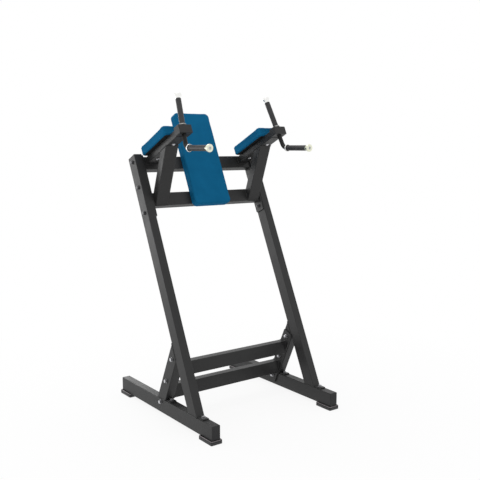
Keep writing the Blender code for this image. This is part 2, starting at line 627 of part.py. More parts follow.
coat = material("charcoal_powder_coat", (0.040, 0.040, 0.042), 0.5, 0.0)
zinc = material("zinc_plated_steel", (0.42, 0.42, 0.43), 0.35, 0.9)
plastic = material("black_plastic", (0.030, 0.030, 0.031), 0.55, 0.0)
rubber = material("black_rubber", (0.032, 0.031, 0.034), 0.7, 0.0)
aluminium = material("satin_aluminium", (0.62, 0.61, 0.52), 0.3, 0.9)
vinyl = material("blue_vinyl", (0.010, 0.105, 0.200), 0.5, 0.0)
backing = material("black_board", (0.015, 0.015, 0.015), 0.8, 0.0)

upright_frame = frame_empty("upright_frame", (0, RAIL_FRONT + UPRIGHT_SETBACK, RAIL_TOP), -UPRIGHT_LEAN)
brace_frame = frame_empty("brace_frame", (0, RAIL_FRONT + BRACE_SETBACK, RAIL_TOP), BRACE_LEAN)
bpy.context.view_layer.update()

bolt = bolt_mesh()
for side_name, side_sign in SIDES:
    rail_tube = build_rail(side_name, side_sign)
    upright = build_upright(side_name, side_sign)
    brace = build_brace(side_name, side_sign)
    upper_holes = build_plate("upper", side_name, side_sign, upright_frame, UPPER_BOLTS_TOP, BOLT_PITCH,
                              UPRIGHT_DEPTH)
    lower_holes = build_plate("lower", side_name, side_sign, brace_frame, LOWER_BOLTS_TOP, LOWER_BOLT_PITCH,
                              BRACE_DEPTH)
    boolean(upright, upper_holes)
    boolean(brace, lower_holes)
    boolean(rail_tube, lower_holes)
    build_arm(side_name, side_sign)
    build_handle(side_name, side_sign)
    arm_place = Matrix.Translation((side_sign * ARM_MIDDLE, -(ARM_PAD_START + ARM_PAD_LENGTH / 2),
                                    ARM_BEAM_TOP + GAP))
    build_pad("arm_pad_" + side_name, ARM_PAD_WIDTH, ARM_PAD_LENGTH, ARM_PAD_THICKNESS, ARM_PAD_CORNER,
              arm_place)

build_cross_beams()
back_place = Matrix.Translation((0, BEAM_FRONT - GAP, BACK_PAD_LEVEL + BACK_PAD_LENGTH / 2)) @ \
    Matrix.Rotation(math.pi / 2, 4, "X")
build_pad("back_pad", BACK_PAD_WIDTH, BACK_PAD_LENGTH, BACK_PAD_THICKNESS, BACK_PAD_CORNER, back_place)
bpy.context.view_layer.update()
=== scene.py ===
"""Looks of the dip and knee raise station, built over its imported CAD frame."""
import math

import bmesh
import bpy
from mathutils import Matrix, Vector, noise


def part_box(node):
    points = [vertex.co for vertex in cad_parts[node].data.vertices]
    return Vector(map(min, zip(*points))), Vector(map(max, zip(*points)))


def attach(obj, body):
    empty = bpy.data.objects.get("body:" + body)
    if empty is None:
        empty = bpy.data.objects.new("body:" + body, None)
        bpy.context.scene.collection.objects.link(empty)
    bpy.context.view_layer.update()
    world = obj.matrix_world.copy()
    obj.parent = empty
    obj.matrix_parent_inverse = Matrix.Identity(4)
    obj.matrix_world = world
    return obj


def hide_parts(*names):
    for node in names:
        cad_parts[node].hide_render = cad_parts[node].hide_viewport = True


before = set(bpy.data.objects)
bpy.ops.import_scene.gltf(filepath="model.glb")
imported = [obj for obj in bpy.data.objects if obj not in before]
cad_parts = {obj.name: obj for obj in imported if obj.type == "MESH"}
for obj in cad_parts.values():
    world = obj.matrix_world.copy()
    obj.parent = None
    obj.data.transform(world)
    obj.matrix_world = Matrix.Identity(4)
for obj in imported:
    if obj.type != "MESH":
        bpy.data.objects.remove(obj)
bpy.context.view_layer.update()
SIDES = (("left", -1), ("right", 1))
GAP = 0.0003                                   # between a piece and what it sits on
CORNERS = ((-1, -1), (1, -1), (1, 1), (-1, 1))

# Frame sizes that the pieces here are placed by, in metres
LEAN = math.radians(25)                        # uprights, arms and pads lean back
UPRIGHT_FOOT = Vector((0, -0.351, 0.098))      # uprights' front face at the rails' top
UPRIGHT_DEPTH = 0.077                          # also the braces' depth
BRACE_LEAN = math.radians(25)                  # braces lean forward
BRACE_FOOT = -0.0255                           # braces' front face at the rails' top
RAIL_TOP = 0.098
FLANGE_TOP = 0.1043
FRAME_OUTER = 0.437
FRAME_INNER = 0.387
PLATE_INNER = 0.3787
ARM_MIDDLE = 0.328
ARM_BEAM_WIDTH = 0.070
ARM_BEAM_UNDER = 1.4525                        # up the uprights
ARM_BEAM_TOP = 1.4925
ARM_REACH = 0.405
BLOCK_DEPTH = 0.050
BEAM_FRONT = -0.0135                           # cross beams' front face, behind the uprights' front
BEAM_DEPTH = 0.050
BEAM_HEIGHT = 0.0785
BEAM_LEVELS = (1.4615, 1.237)
STRUT_WIDTH = 0.080
STRUT_THICKNESS = 0.050
STRUT_LEAN = math.radians(45)
STRUT_DROP = 0.005
HANDLE_INWARD = math.radians(5.7)              # upper legs of the handles

# Cushions: width, length, thickness
ARM_PAD_SIZE = (0.134, 0.285, 0.0562)
ARM_BOARD_SIZE = (0.116, 0.266)
ARM_PAD_MIDDLE = 0.154                         # in front of the uprights
ARM_PAD_CORNER = 0.015
ARM_PAD_VOXEL = 0.005
ARM_PAD_SWELL = 0.004
BACK_PAD_SIZE = (0.252, 0.590, 0.0482)
BACK_BOARD_SIZE = (0.236, 0.574)
BACK_PAD_MIDDLE = 1.4725                       # up the uprights
BACK_PAD_CORNER = 0.028
BACK_PAD_VOXEL = 0.006
BACK_PAD_SWELL = 0.005
BOARD_THICKNESS = 0.015
PAD_HEM = 0.007
PAD_EDGE = 0.006
PAD_CROWN = 0.0022
PAD_WAIST = 0.002
FOAM_EDGE = 0.007                              # before it swells
FOAM_FOOT = 0.003
HELD_BELOW = 0.004                             # the part of a cushion that stays put as it swells
FLAT_BELOW = 0.002
SWELL_FRAMES = 20
SWELL_ROOM = 0.6                               # share of the swelling that the foam is cut smaller by
SETTLE_ROUNDS = 2
SETTLE_SHARE = 0.85
POCKET_BOTTOM = -0.02                          # of the block that cuts the board's pocket
PLEATS = 5                                     # at each corner
PLEAT_DEPTH = 0.0011
WRINKLE = 0.00025

# Fasteners
BOLT_ACROSS = 0.018
WASHER = 0.024
WASHER_HEIGHT = 0.0025
WASHER_EDGE = 0.0006
RAIL_BOLTS = (-0.375, -0.0495)                 # along the rails
RAIL_BOLT_SIZES = (0.017, 0.026, 0.002)        # across flats, washer, washer's height
PAD_BOLTS = (0.063, 0.255)                     # along the arms, in front of the uprights
BACK_BOLT_SPREAD = 0.060                       # back pad's middle to its bolts
FUSE = 0.0004                                  # overlap of the turned shapes of one fastener
THREAD_PITCH = 0.0008

# Handles
GRIP_BORE = 0.0128
GRIP_RADIUS = 0.0156
GRIP_SEGMENTS = 84
GRIP_ROW = 0.0011
LIP_DROP = 0.0015
LIP_LENGTH = 0.002
KNURL_START = 0.006                            # from each end of a grip
KNURL_FADE = 0.003
KNURL_TWISTS = 14
KNURL_RISE = 0.0072
KNURL_DEPTH = 0.0003
KNURL_WIDTH = 0.45                             # share of a wave that a groove takes
COLLAR_RADIUS = 0.021
COLLAR_HEIGHT = 0.008
COLLAR_FACE = 0.006                            # a collar's end above it has the second finish, black as painted shade
CAP_LENGTH = 0.029
CAP_FLARE = 0.019
CAP_RADIUS = 0.021
SCREW_SEAT = 0.0048                            # below the cap's end

# Feet
FOOT_PLATE_TOP = 0.018
FOOT_RIM_WIDTH = 0.0056
FOOT_RIM_HEIGHT = 0.0036
FOOT_RIM_CORNER = 0.006

# Weld beads
WELD_WIDE = 0.0030                             # radius at the side frames' tubes
WELD_ARM = 0.0028
WELD_FINE = 0.0026                             # at handle blocks, cross beams and step beams
WELD_STEP = 0.0014
WELD_RIPPLE = 0.0042
WELD_SIDES = 8
WELD_LIFT = 0.0002                             # off the face that carries the bead
WELD_LIFT_ARM = 0.0004
WELD_LIFT_BRACE = 0.0006
WELD_LIFT_RAIL = 0.0008

# Camera, as solved from the photograph
CAMERA_PLACE = (-2.3737, -3.357, 1.509)
CAMERA_TURN = (82.536, 0, -36.414)
CAMERA_LENS = 53.31

# Light: name, place, size and power of each lamp
LAMPS = (
    ("key", (-3.2, 4.4, 0.9), 2.0, 46),
    ("top", (-0.5, 0.6, 4.8), 2.4, 62),
    ("rear", (0.6, 4.6, 1.8), 2.4, 52),
)
LAMP_AIM = Vector((0, 0, 0.9))
WORLD_LIGHT = 0.67
FLOOR_HALF = 12
FLOOR_DROP = 0.0005
FLOOR_PAINT = 0.9
FLOOR_GLOW = (0.89, 1.0)                       # share that glows near the station and far from it
FLOOR_FADE = (0.5, 2.2)                        # distances at which it has these shares

# Finishes
MOTTLE = (0.3, 0.7)                            # range of a noise that is spread over a finish
CAD_SMOOTH_ANGLE = math.radians(34)
CAD_JOIN = 0.00001


def circle(count):
    """Angles spread evenly round a circle."""
    return [2 * math.pi * i / count for i in range(count)]


def tilted(x, forward, up):
    """A point from its distance in front of the uprights' front face and its length up them."""
    return UPRIGHT_FOOT + Vector((x, -forward * math.cos(LEAN) + up * math.sin(LEAN),
                                  forward * math.sin(LEAN) + up * math.cos(LEAN)))


def tilted_frame(x, forward, up, facing):
    """A placement in the uprights' frame. Local +Z faces "front", "rear", "top" or "under"."""
    turns = {"front": math.pi / 2, "rear": -math.pi / 2, "top": 0, "under": math.pi}
    lean = Matrix.Rotation(-LEAN, 4, "X")
    turn = Matrix.Rotation(turns[facing], 4, "X")
    return Matrix.Translation(tilted(x, forward, up)) @ lean @ turn


def camera():
    """The photograph's camera."""
    data = bpy.data.cameras.new("camera")
    data.sensor_width = 36
    data.lens = CAMERA_LENS
    data.clip_end = 60
    item = bpy.data.objects.new("camera", data)
    item.location = CAMERA_PLACE
    item.rotation_euler = [math.radians(a) for a in CAMERA_TURN]
    bpy.context.scene.collection.objects.link(item)
    bpy.context.scene.camera = item


def add_node(tree, kind, inputs=(), **settings):
    """Adds a shader node. Each input is a value or another node's output."""
    item = tree.nodes.new(kind)
    for key, value in settings.items():
        setattr(item, key, value)
    for key, value in dict(inputs).items():
        if isinstance(value, bpy.types.NodeSocket):
            tree.links.new(value, item.inputs[key])
        else:
            item.inputs[key].default_value = value
    return item


class Shader:
    """A node material with a Principled shader, and short ways to add texture to it."""

    def __init__(self, name):
        self.material = bpy.data.materials.new(name)
        self.material.use_nodes = True
        self.tree = self.material.node_tree
        self.main = self.tree.nodes["Principled BSDF"]
        self.coords = self.node("ShaderNodeTexCoord")
        self.normal = None

    def node(self, kind, inputs=(), **settings):
        return add_node(self.tree, kind, inputs, **settings)

    def set(self, **values):
        """Sets values that are the same all over the surface."""
        for key, value in values.items():
            self.main.inputs[key.replace("_", " ")].default_value = value

    def noise(self, scale, detail, roughness):
        return self.node("ShaderNodeTexNoise", {
            "Vector": self.coords.outputs["Object"], "Scale": scale, "Detail": detail,
            "Roughness": roughness}).outputs["Fac"]

    def cells(self, scale):
        """The distance to the nearest edge between cells."""
        return self.node("ShaderNodeTexVoronoi", {
            "Vector": self.coords.outputs["Object"], "Scale": scale},
            feature="DISTANCE_TO_EDGE").outputs["Distance"]

    def spread(self, value, low, high, start=0.0, end=1.0):
        """Maps a value between start and end to low and high."""
        return self.node("ShaderNodeMapRange", {
            "Value": value, "From Min": start, "From Max": end,
            "To Min": low, "To Max": high}).outputs["Result"]

    def colour(self, low, high, factor):
        """Mixes the surface's colour from two."""
        item = self.node("ShaderNodeMix", data_type="RGBA")
        self.tree.links.new(factor, item.inputs[0])
        item.inputs[6].default_value = (*low, 1)
        item.inputs[7].default_value = (*high, 1)
        self.tree.links.new(item.outputs[2], self.main.inputs["Base Color"])

    def roughness(self, value, extra=None):
        """Sets the roughness from one value, or from the sum of two."""
        if extra:
            value = self.node("ShaderNodeMath", {0: value, 1: extra}, operation="ADD").outputs[0]
        self.tree.links.new(value, self.main.inputs["Roughness"])

    def bump(self, height, strength, distance):
        """Adds relief over the relief that is already there."""
        inputs = {"Height": height, "Strength": strength, "Distance": distance}
        if self.normal:
            inputs["Normal"] = self.normal
        self.normal = self.node("ShaderNodeBump", inputs).outputs["Normal"]
        self.tree.links.new(self.normal, self.main.inputs["Normal"])


def powder_coat():
    """Charcoal powder coat: a fine orange peel, faint cloudiness and rubbed, duller patches."""
    shader = Shader("charcoal_powder_coat_finish")
    shader.set(Metallic=0.0, Specular_IOR_Level=0.3)
    cloud = shader.noise(9, 4, 0.6)
    shader.colour((0.0208, 0.0208, 0.0211), (0.0272, 0.0272, 0.0275), shader.spread(cloud, 0, 1, *MOTTLE))
    grain = shader.noise(1400, 2, 0.6)
    shader.roughness(shader.spread(cloud, 0.40, 0.50, *MOTTLE), shader.spread(grain, -0.05, 0.05))
    shader.bump(shader.noise(420, 3, 0.5), 0.25, 0.0003)
    shader.bump(grain, 0.2, 0.0001)
    return shader.material


def bare_metal(name, low, high, roughness):
    """Plated or turned metal with fine scratches and a little mottling."""
    shader = Shader(name)
    shader.set(Metallic=1.0)
    mottle = shader.noise(160, 4, 0.6)
    shader.colour(low, high, shader.spread(mottle, 0, 1, *MOTTLE))
    scratch = shader.noise(900, 2, 0.5)
    shader.roughness(shader.spread(mottle, roughness - 0.06, roughness + 0.04, *MOTTLE),
                     shader.spread(scratch, -0.04, 0.06))
    shader.bump(scratch, 0.12, 0.0001)
    return shader.material


def moulded(name, low, high, roughness, grain, gloss=0.25):
    """Moulded plastic or rubber with a fine grain."""
    shader = Shader(name)
    shader.set(Metallic=0.0, Specular_IOR_Level=gloss)
    cloud = shader.noise(30, 3, 0.6)
    shader.colour(low, high, shader.spread(cloud, 0, 1, *MOTTLE))
    speckle = shader.noise(grain, 2, 0.7)
    shader.roughness(shader.spread(speckle, roughness - 0.08, roughness + 0.08, *MOTTLE))
    shader.bump(speckle, 0.35, 0.0002)
    return shader.material


def vinyl():
    """Blue upholstery vinyl: pebbled grain with fine creases, soft sheen."""
    shader = Shader("blue_vinyl_finish")
    shader.set(Metallic=0.0, Specular_IOR_Level=0.02)
    cloud = shader.noise(14, 4, 0.6)
    shader.colour((0.0062, 0.115, 0.246), (0.0078, 0.133, 0.281), shader.spread(cloud, 0, 1, *MOTTLE))
    pebble = shader.cells(620)
    shader.roughness(shader.spread(cloud, 0.64, 0.74, *MOTTLE), shader.spread(pebble, 0.06, -0.04, 0, 0.3))
    shader.bump(shader.spread(pebble, 0, 1, 0, 0.25), 0.30, 0.00025)
    shader.bump(shader.noise(180, 3, 0.6), 0.15, 0.0006)
    return shader.material


def smooth_cad_modifier():
    """A modifier that joins a CAD node's split corners and shades only its rounded edges smooth."""
    tree = bpy.data.node_groups.new("smooth_cad", "GeometryNodeTree")
    tree.interface.new_socket("Geometry", in_out="INPUT", socket_type="NodeSocketGeometry")
    tree.interface.new_socket("Geometry", in_out="OUTPUT", socket_type="NodeSocketGeometry")
    entry, leave = tree.nodes.new("NodeGroupInput"), tree.nodes.new("NodeGroupOutput")
    forget = tree.nodes.new("GeometryNodeRemoveAttribute")
    forget.inputs["Name"].default_value = "custom_normal"
    join = tree.nodes.new("GeometryNodeMergeByDistance")
    join.inputs["Distance"].default_value = CAD_JOIN
    faces = tree.nodes.new("GeometryNodeSetShadeSmooth")
    edges = tree.nodes.new("GeometryNodeSetShadeSmooth")
    edges.domain = "EDGE"
    angle = tree.nodes.new("GeometryNodeInputMeshEdgeAngle")
    limit = tree.nodes.new("FunctionNodeCompare")
    limit.operation = "LESS_THAN"
    limit.inputs["B"].default_value = CAD_SMOOTH_ANGLE
    link = tree.links.new
    link(entry.outputs[0], forget.inputs[0])
    link(forget.outputs[0], join.inputs[0])
    link(join.outputs[0], faces.inputs[0])
    link(faces.outputs[0], edges.inputs[0])
    link(angle.outputs["Unsigned Angle"], limit.inputs["A"])
    link(limit.outputs[0], edges.inputs["Shade Smooth"])
    link(edges.outputs[0], leave.inputs[0])
    return tree


def dress_cad_nodes():
    """Gives each CAD node that stays in view its finish and smooth rounded edges."""
    smooth = smooth_cad_modifier()
    for name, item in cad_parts.items():
        slot = item.data.materials[0].name.split(".")[0]
        item.data.materials[0] = FINISHES["gloss_black" if name.startswith("handle_bar") else slot]
        item.modifiers.new("smooth", "NODES").node_group = smooth
        weigh = item.modifiers.new("weigh", "WEIGHTED_NORMAL")
        weigh.keep_sharp = True
        weigh.weight = 100


def link_piece(name, mesh, finish, place=Matrix(), second=None):
    """Adds a piece that rides on the frame's one body."""
    mesh.transform(place)
    item = bpy.data.objects.new(name, mesh)
    bpy.context.scene.collection.objects.link(item)
    item.data.materials.append(finish)
    if second:
        item.data.materials.append(second)
    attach(item, "root")
    return item


def mesh_from(bm, name, smooth_angle=35):
    """A mesh whose edges stay sharp above an angle in degrees."""
    mesh = bpy.data.meshes.new(name)
    bm.to_mesh(mesh)
    bm.free()
    mesh.shade_smooth()
    mesh.set_sharp_from_angle(angle=math.radians(smooth_angle))
    return mesh


def ring(bm, radius, height, angles):
    """Adds a ring of points round Z."""
    return [bm.verts.new((radius * math.cos(a), radius * math.sin(a), height)) for a in angles]


def bridge(bm, rings):
    """Joins each ring of points to the next by faces."""
    for low, high in zip(rings, rings[1:]):
        for i in range(len(low)):
            j = (i + 1) % len(low)
            bm.faces.new((low[i], low[j], high[j], high[i]))


def lathe(profile, segments):
    """Turns (radius, height) points round Z, from the axis out and back to it, as a closed mesh."""
    bm = bmesh.new()
    angles = circle(segments)
    rings = [[bm.verts.new((0, 0, height))] if radius < 1e-6 else ring(bm, radius, height, angles)
             for radius, height in profile]
    for low, high in zip(rings, rings[1:]):
        for i in range(segments):
            j = (i + 1) % segments
            corners = [low[i % len(low)], low[j % len(low)], high[j % len(high)], high[i % len(high)]]
            corners = list(dict.fromkeys(corners))
            if len(corners) > 2:
                bm.faces.new(corners)
    bmesh.ops.recalc_face_normals(bm, faces=bm.faces)
    return bm


def rounded(profile, radius, steps=3):
    """A lathe profile with its inner corners rounded."""
    points = [Vector(p) for p in profile]
    result = [points[0]]
    for before, corner, after in zip(points, points[1:], points[2:]):
        a, b = before - corner, after - corner
        reach = min(radius, a.length * 0.45, b.length * 0.45)
        start, end = corner + a.normalized() * reach, corner + b.normalized() * reach
        for i in range(steps + 1):
            t = i / steps
            result.append(start.lerp(corner, t).lerp(corner.lerp(end, t), t))
    return [tuple(p) for p in result + [points[-1]]]


def merge(bm, other):
    """Moves another bmesh into this one."""
    mesh = bpy.data.meshes.new("part")
    other.to_mesh(mesh)
    other.free()
    bm.from_mesh(mesh)
    bpy.data.meshes.remove(mesh)


def add_hexagon(bm, across, low, high, chamfer):
    """Adds a hexagonal bar on Z, with its top chamfered and its flanks in the second finish, which is darker
    and paints shade on them.
    """
    corner = across / math.sqrt(3)
    body = lathe([(0, low), (corner, low), (corner, high), (0, high)], 6)
    rims = [e for e in body.edges if min(v.co.z for v in e.verts) > high - 1e-6
            and min(Vector(v.co.xy).length for v in e.verts) > corner / 2]
    bmesh.ops.bevel(body, geom=rims, offset=chamfer, segments=2, affect="EDGES", profile=0.6)
    for face in body.faces:
        # flanks take the darker second finish: painted shade
        face.material_index = int(abs(face.normal.z) < 0.1)
    merge(bm, body)


def add_disc(bm, radius, low, high, edge, segments=36):
    """Adds a disc on Z with rounded rims."""
    merge(bm, lathe(rounded([(0, low), (radius, low), (radius, high), (0, high)], edge), segments))


def hex_bolt(across=BOLT_ACROSS, washer=WASHER, washer_height=WASHER_HEIGHT, head=0.0075):
    """A hex head on its washer. Local z = 0 is the seat."""
    bm = bmesh.new()
    add_disc(bm, washer / 2, 0, washer_height, WASHER_EDGE)
    top = washer_height + head
    add_hexagon(bm, across, washer_height - FUSE, top, 0.0012)
    add_disc(bm, across * 0.42, top - 0.001, top + FUSE, 0.0004, 30)
    return bm


def lock_nut(height=0.010, bolt=0.012, collar=0.004, sunk=0.0015, thread_end=0.0022):
    """A nut with a rounded collar, its washer, and the threaded end of the bolt."""
    bm = bmesh.new()
    add_disc(bm, WASHER / 2, 0, WASHER_HEIGHT, WASHER_EDGE)
    top = WASHER_HEIGHT + height
    add_hexagon(bm, BOLT_ACROSS, WASHER_HEIGHT - FUSE, top - 0.0028, 0.001)
    outer, inner = BOLT_ACROSS * 0.44, bolt * 0.55
    profile = [(0, top - collar), (outer, top - collar), (outer, top), (inner, top), (inner, top - sunk),
               (0, top - sunk)]
    merge(bm, lathe(rounded(profile, 0.0012), 30))
    level = top - collar
    thread = [(0, level)]
    while level < top + thread_end:
        thread += [(bolt * 0.5, level), (bolt * 0.44, level + THREAD_PITCH / 2)]
        level += THREAD_PITCH
    thread += [(bolt * 0.36, level + THREAD_PITCH / 2), (0, level + THREAD_PITCH / 2)]
    merge(bm, lathe(thread, 24))
    return bm


def button_screw(radius=0.0085, height=0.0055, washer=0.011, rim=0.0020, socket=0.0031, floor=0.0026):
    """A domed socket screw on a washer. Local z = 0 is the seat."""
    bm = bmesh.new()
    add_disc(bm, washer, 0, 0.0015, 0.0004)
    dome = [(0, 0.0012), (radius, 0.0012), (radius, rim)]
    for i in range(1, 7):
        angle = i / 7 * math.radians(62)
        dome.append((radius * math.cos(angle), rim + (height - rim) * math.sin(angle) / 0.9))
    dome += [(socket, height + 0.0014), (socket, floor), (0, floor)]
    merge(bm, lathe(dome, 36))
    return bm


def socket_screw(radius=0.0065, height=0.0045, socket=0.0029, chamfer=0.0006, depth=0.0028):
    """A small cylinder-head screw with a hexagonal socket."""
    bm = bmesh.new()
    angles = circle(36)
    hexagonal = [socket * math.cos(math.pi / 6) / math.cos(a % (math.pi / 3) - math.pi / 6) * 1.15
                 for a in angles]
    rings = [ring(bm, radius, 0, angles), ring(bm, radius, height - chamfer, angles),
             ring(bm, radius - chamfer, height, angles)]
    for level in (height, height - depth):
        rings.append([bm.verts.new((r * math.cos(a), r * math.sin(a), level))
                      for r, a in zip(hexagonal, angles)])
    bm.faces.new(rings[0])
    bm.faces.new(rings[-1])
    bridge(bm, rings)
    bmesh.ops.recalc_face_normals(bm, faces=bm.faces)
    return bm


def bead(bm, corners, radius, seed):
    """Adds a weld bead round a closed route: overlapping ripples, a little uneven."""
    route = [Vector(p) for p in corners + corners[:1]]
    spots = []
    for start, end in zip(route, route[1:]):
        count = max(2, round((end - start).length / WELD_STEP))
        spots += [(start.lerp(end, i / count), (end - start).normalized()) for i in range(count)]
    rings = []
    for index, (spot, along) in enumerate(spots):
        across = along.orthogonal().normalized()
        up = along.cross(across)
        ripple = abs(math.sin(math.pi * index * WELD_STEP / WELD_RIPPLE))
        wander = noise.noise(spot * 60 + Vector((seed, 0, 0)))
        size = radius * (0.86 + 0.16 * ripple + 0.12 * wander)
        rings.append([bm.verts.new(spot + (across * math.cos(a) + up * math.sin(a)) * size)
                      for a in circle(WELD_SIDES)])
    sides = range(WELD_SIDES)
    for low, high in zip(rings, rings[1:] + rings[:1]):
        shift = min(sides, key=lambda k: (low[0].co - high[k].co).length)
        for i in sides:
            j = (i + 1) % WELD_SIDES
            bm.faces.new((low[i], low[j], high[(j + shift) % WELD_SIDES], high[(i + shift) % WELD_SIDES]))


def loop(x, forward, up, half_x, half_other, plane):
    """Corners of a rectangle in the uprights' frame, across X and along "up" or "forward"."""
    corners = []
    for a, b in CORNERS:
        spread = b * half_other
        place = (forward, up + spread) if plane == "up" else (forward + spread, up)
        corners.append(tilted(x + a * half_x, *place))
    return corners


def footprint(middle, half, front, depth):
    """Corners of the cut of a leaning tube on its rail."""
    level = RAIL_TOP + WELD_LIFT_RAIL
    return [(middle - half, front, level), (middle + half, front, level),
            (middle + half, front + depth, level), (middle - half, front + depth, level)]


def welds(side, sign):
    """Weld beads of one side frame and arm."""
    bm = bmesh.new()
    middle = sign * (FRAME_OUTER + FRAME_INNER) / 2
    half = (FRAME_OUTER - FRAME_INNER) / 2
    upright, brace = UPRIGHT_DEPTH / math.cos(LEAN), UPRIGHT_DEPTH / math.cos(BRACE_LEAN)
    bead(bm, footprint(middle, half, UPRIGHT_FOOT.y, upright), WELD_WIDE, 1)
    bead(bm, footprint(middle, half, BRACE_FOOT, brace), WELD_WIDE, 2)
    base = BRACE_FOOT - (UPRIGHT_FOOT.y + upright)
    low, high = (run * math.cos(BRACE_LEAN) / math.sin(LEAN + BRACE_LEAN) + UPRIGHT_DEPTH * math.tan(LEAN)
                 for run in (base, base + brace))
    corners = [tilted(middle + a * half, -UPRIGHT_DEPTH - WELD_LIFT_BRACE, b)
               for a, b in ((-1, low), (1, low), (1, high), (-1, high))]
    bead(bm, corners, WELD_WIDE, 3)

    arm = sign * ARM_MIDDLE
    half = ARM_BEAM_WIDTH / 2
    level = (ARM_BEAM_UNDER + ARM_BEAM_TOP) / 2
    rise = (ARM_BEAM_TOP - ARM_BEAM_UNDER) / 2
    bead(bm, loop(arm, BEAM_FRONT + WELD_LIFT_ARM, level, half, rise, "up"), WELD_ARM, 4)
    bead(bm, loop(arm, ARM_REACH - BLOCK_DEPTH - WELD_LIFT, level, half, rise, "up"), WELD_FINE, 5)
    across = STRUT_THICKNESS / 2 / math.sin(STRUT_LEAN)
    foot = BEAM_LEVELS[1] - STRUT_DROP
    top = BEAM_FRONT + ARM_BEAM_UNDER - foot
    bead(bm, loop(arm, BEAM_FRONT + WELD_LIFT_ARM, foot, STRUT_WIDTH / 2, across, "up"), WELD_ARM, 6)
    bead(bm, loop(arm, top, ARM_BEAM_UNDER - WELD_LIFT_ARM, STRUT_WIDTH / 2, across, "forward"), WELD_ARM, 7)

    plate = sign * (PLATE_INNER + WELD_LIFT)
    for index, beam in enumerate(BEAM_LEVELS):
        corners = [tilted(plate, BEAM_FRONT - BEAM_DEPTH / 2 + a * BEAM_DEPTH / 2, beam + b * BEAM_HEIGHT / 2)
                   for a, b in CORNERS]
        bead(bm, corners, WELD_FINE, 8 + index)
    for node in ("step_beam_upper", "step_beam_lower"):
        (_, front, under), (_, rear, top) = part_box(node)
        bead(bm, [(plate, front, under), (plate, rear, under), (plate, rear, top), (plate, front, top)],
             WELD_FINE, 10)
    name = "weld_beads_" + side
    link_piece(name, mesh_from(bm, name, 80), FINISHES["charcoal_powder_coat"])


def side_bolts():
    """Heads and nuts of the bolts through the side plates, with painted shade on their flanks."""
    zinc, upper_bolt_shade, flank_shade = FINISHES["zinc_plated_steel"], FINISHES["dull_zinc"], FINISHES["dark_zinc"]
    bolt = mesh_from(hex_bolt(), "bolt", 30)
    nut = mesh_from(lock_nut(), "nut", 30)
    for side, sign in SIDES:
        outwards = Matrix.Rotation(sign * math.pi / 2, 4, "Y")
        inwards = Matrix.Rotation(-sign * math.pi / 2, 4, "Y")
        # the upper bolts and nuts take a darker copy of the zinc: painted shade
        for level, lean, face in (("upper", -LEAN, upper_bolt_shade), ("lower", BRACE_LEAN, zinc)):
            tilt = Matrix.Rotation(lean, 4, "X")
            for index in (1, 2, 3):
                node = "side_bolt_%s_%s_%d" % (level, side, index)
                low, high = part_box(node)
                middle = (Vector(low) + Vector(high)) / 2
                head = Matrix.Translation((sign * (FRAME_OUTER + GAP), middle.y, middle.z))
                tail = Matrix.Translation((sign * (PLATE_INNER - GAP), middle.y, middle.z))
                spin = Matrix.Rotation(0.5 * index + sign * 0.3, 4, "Z")
                piece = link_piece(node + "_head", bolt.copy(), face,
                                   head @ tilt @ outwards @ spin, flank_shade)
                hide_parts(node)
                link_piece(node + "_nut", nut.copy(), face, tail @ tilt @ inwards @ spin,
                           flank_shade)


def small_bolts():
    """Rail bolts, and the domed screws under the arm pads and behind the back pad."""
    # the darker zinc paints shade on the rail bolts' flanks
    zinc, flank_shade = FINISHES["zinc_plated_steel"], FINISHES["dark_zinc"]
    rail_bolt = mesh_from(hex_bolt(*RAIL_BOLT_SIZES), "rail_bolt", 30)
    for side, sign in SIDES:
        for name, place in zip(("front", "rear"), RAIL_BOLTS):
            seat = Matrix.Translation((sign * (FRAME_OUTER + FRAME_INNER) / 2, place, FLANGE_TOP + GAP))
            link_piece("rail_bolt_%s_%s" % (name, side), rail_bolt.copy(), FINISHES["grey_zinc"],
                       seat @ Matrix.Rotation(0.4 + sign, 4, "Z"), flank_shade)
        arm_seats = [tilted_frame(sign * ARM_MIDDLE, forward, ARM_BEAM_UNDER - GAP, "under")
                     for forward in PAD_BOLTS]
        back_seats = [tilted_frame(sign * BACK_BOLT_SPREAD, BEAM_FRONT - BEAM_DEPTH - GAP, level, "rear")
                      for level in BEAM_LEVELS]
        for name, seats in (("arm_pad_bolt", arm_seats), ("back_pad_bolt", back_seats)):
            for index, seat in enumerate(seats):
                link_piece("%s_%s_%d" % (name, side, index + 1), mesh_from(button_screw(), "screw", 30), zinc,
                           seat)


def rim_mesh(low, high, name):
    """A rounded bead round the top edge of a foot pad, given by its lowest and highest corners."""
    bm = bmesh.new()
    level = FOOT_PLATE_TOP + FOOT_RIM_HEIGHT * 0.35
    inset = FOOT_RIM_WIDTH / 2
    section = [(FOOT_RIM_WIDTH / 2 * math.cos(a), FOOT_RIM_HEIGHT / 2 * math.sin(a)) for a in circle(12)]
    corners = [Vector((low[0] + inset, low[1] + inset)), Vector((high[0] - inset, low[1] + inset)),
               Vector((high[0] - inset, high[1] - inset)), Vector((low[0] + inset, high[1] - inset))]
    rings = []
    for index, spot in enumerate(corners):
        before, after = corners[index - 1], corners[(index + 1) % 4]
        start = spot + (before - spot).normalized() * FOOT_RIM_CORNER
        finish = spot + (after - spot).normalized() * FOOT_RIM_CORNER
        for step in range(7):
            t = step / 6
            centre = start.lerp(spot, t).lerp(spot.lerp(finish, t), t)
            away = (start.lerp(finish, t) - (start + finish - spot)).normalized()
            outwards = Vector((away.x, away.y, 0))
            rings.append([bm.verts.new(Vector((centre.x, centre.y, level)) + outwards * a + Vector((0, 0, b)))
                          for a, b in section])
    for first, second in zip(rings, rings[1:] + rings[:1]):
        for i in range(len(first)):
            j = (i + 1) % len(first)
            bm.faces.new((first[i], second[i], second[j], first[j]))
    bmesh.ops.recalc_face_normals(bm, faces=bm.faces)
    return mesh_from(bm, name, 50)


